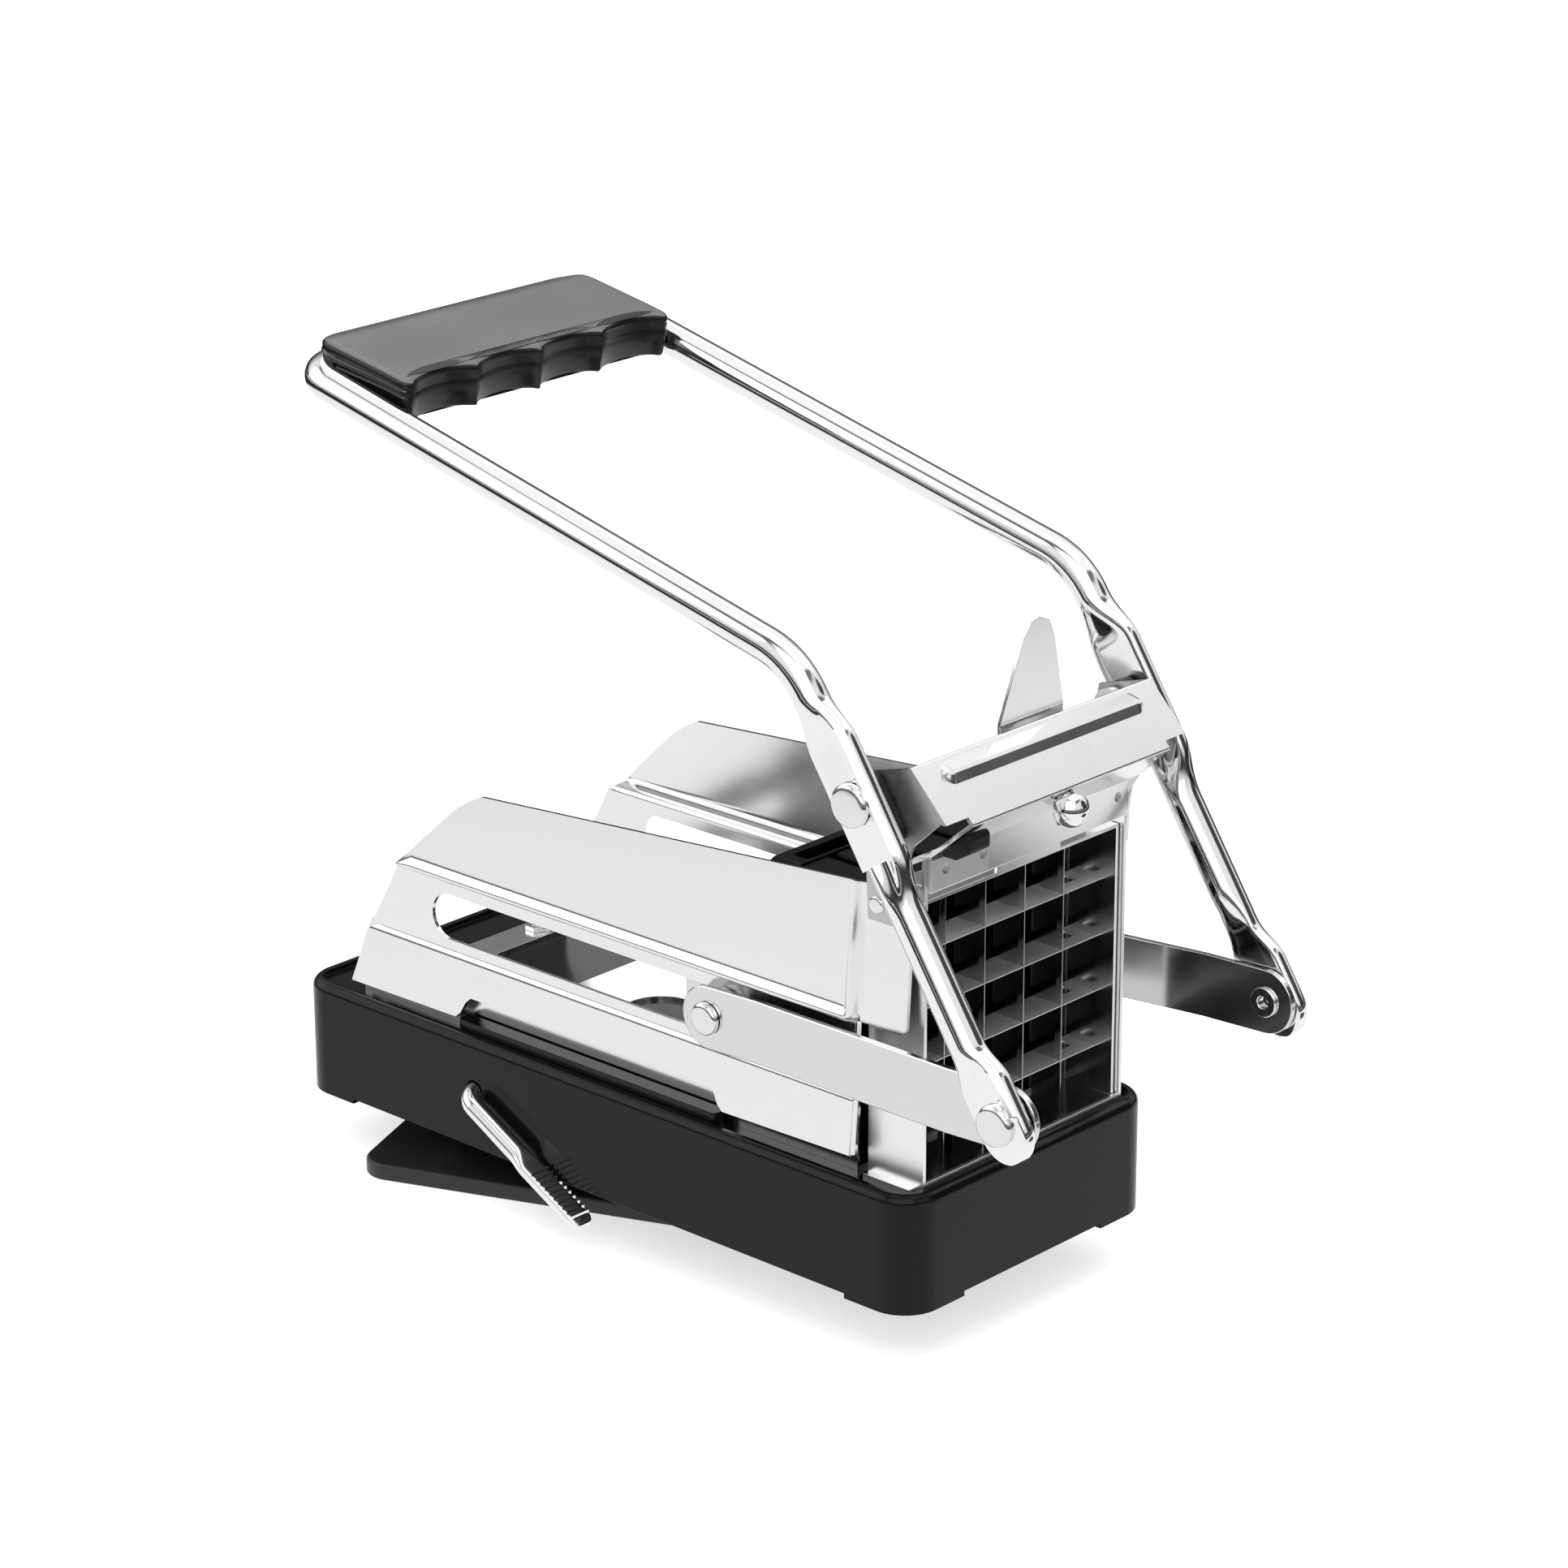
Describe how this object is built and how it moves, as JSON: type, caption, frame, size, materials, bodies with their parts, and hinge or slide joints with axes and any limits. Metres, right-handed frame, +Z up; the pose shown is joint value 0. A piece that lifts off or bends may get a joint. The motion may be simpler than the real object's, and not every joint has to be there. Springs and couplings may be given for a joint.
{
  "type": "lever french fry cutter",
  "caption": "Hand-lever potato chipper: a bent-rod handle drives a pin pusher along a slotted sheet-metal trough into crossed blades, on a moulded base with a suction foot.",
  "frame": {"origin": "centre of the moulded base, on the plane of its four corner feet", "axes": "+X towards the blade end, +Y to the left seen from behind, +Z up"},
  "size_m": [0.2986, 0.129, 0.2563],
  "materials": {
    "base_plastic": "glossy black moulded",
    "sheet_steel": "bright plated sheet",
    "rivet_steel": "bright turned heads",
    "black_nylon": "black",
    "blade_steel": "ground strip",
    "pusher_plastic": "black satin",
    "link_steel": "plated flat bar",
    "handle_chrome": "chrome plated rod",
    "grip_plastic": "black satin moulded",
    "stem_plastic": "black",
    "pad_rubber": "black rubber"
  },
  "bodies": {
    "body": {"base": "base_plastic", "floor_tray": "sheet_steel", "side_wall_left": "sheet_steel", "side_wall_right": "sheet_steel", "front_frame": "sheet_steel", "top_bracket": "sheet_steel", "corner_lug": "sheet_steel", "bracket_block": "black_nylon", "pivot_rivets": "rivet_steel", "pivot_spacers": "black_nylon", "wall_rivets": "rivet_steel", "strip_rivets": "rivet_steel", "base_screws": "rivet_steel", "base_nuts": "rivet_steel"},
    "handle": {"handle_rod": "handle_chrome", "grip": "grip_plastic", "foot_rivets": "rivet_steel"},
    "pusher": {"pusher_block": "pusher_plastic", "pusher_carriage": "link_steel", "slide_rollers": "rivet_steel", "link_pins": "rivet_steel"},
    "link_l": {"link_left": "link_steel", "link_eyelet_left": "rivet_steel"},
    "link_r": {"link_right": "link_steel", "link_eyelet_right": "rivet_steel"},
    "blade_cassette": {"cassette_frame": "blade_steel", "vertical_blades": "blade_steel", "horizontal_blades": "blade_steel"},
    "lock_knob": {"lock_screw": "handle_chrome"},
    "suction_crank": {"suction_lever": "handle_chrome"},
    "suction_lift": {"suction_stem": "stem_plastic", "stem_pin": "rivet_steel", "pad_yoke": "rivet_steel"},
    "suction_cup": {"suction_pad": "pad_rubber"}
  },
  "joints": [
    {"name": "handle_turn", "type": "hinge", "parent": "body", "child": "handle", "pos_m": [0.111, 0, 0.1515], "axis": [0, -1, 0], "range_deg": [-73.2, 12.5]},
    {"name": "pusher_slide", "type": "slide", "parent": "body", "child": "pusher", "axis": [1, 0, 0], "range_m": [-0.1109, 0.019]},
    {"name": "link_swing_left", "type": "hinge", "parent": "pusher", "child": "link_l", "pos_m": [0.046, 0, 0.0685], "axis": [0, -1, 0], "range_deg": [-2.25, 0.4]},
    {"name": "link_swing_right", "type": "hinge", "parent": "pusher", "child": "link_r", "pos_m": [0.046, 0, 0.0685], "axis": [0, -1, 0], "range_deg": [-2.25, 0.4]},
    {"name": "cassette_lift", "type": "slide", "parent": "body", "child": "blade_cassette", "axis": [0, 0, 1], "range_m": [0, 0.09]},
    {"name": "lock_turn", "type": "hinge", "parent": "body", "child": "lock_knob", "pos_m": [0.1326, 0, 0.14354], "axis": [0.6489, 0, -0.7609], "range_deg": [0, 360]},
    {"name": "suction_turn", "type": "hinge", "parent": "body", "child": "suction_crank", "pos_m": [-0.047, 0, 0.02], "axis": [0, -1, 0], "range_deg": [0, 90]},
    {"name": "suction_lift_slide", "type": "slide", "parent": "body", "child": "suction_lift", "axis": [0, 0, 1], "range_m": [0, 0.01363]},
    {"name": "suction_swivel", "type": "hinge", "parent": "suction_lift", "child": "suction_cup", "pos_m": [-0.047, 0, -0.01], "axis": [0, 0, -1], "range_deg": [0, 22.1]}
  ],
  "couplings": [
    {"joint": "pusher_slide", "follows": "handle_turn", "m_per_rad": 0.0867},
    {"joint": "link_swing_left", "follows": "handle_turn", "ratio": 0.03},
    {"joint": "link_swing_right", "follows": "handle_turn", "ratio": 0.03},
    {"joint": "suction_lift_slide", "follows": "suction_turn", "m_per_rad": 0.008643},
    {"joint": "suction_swivel", "follows": "suction_turn", "ratio": 0.24444}
  ]
}
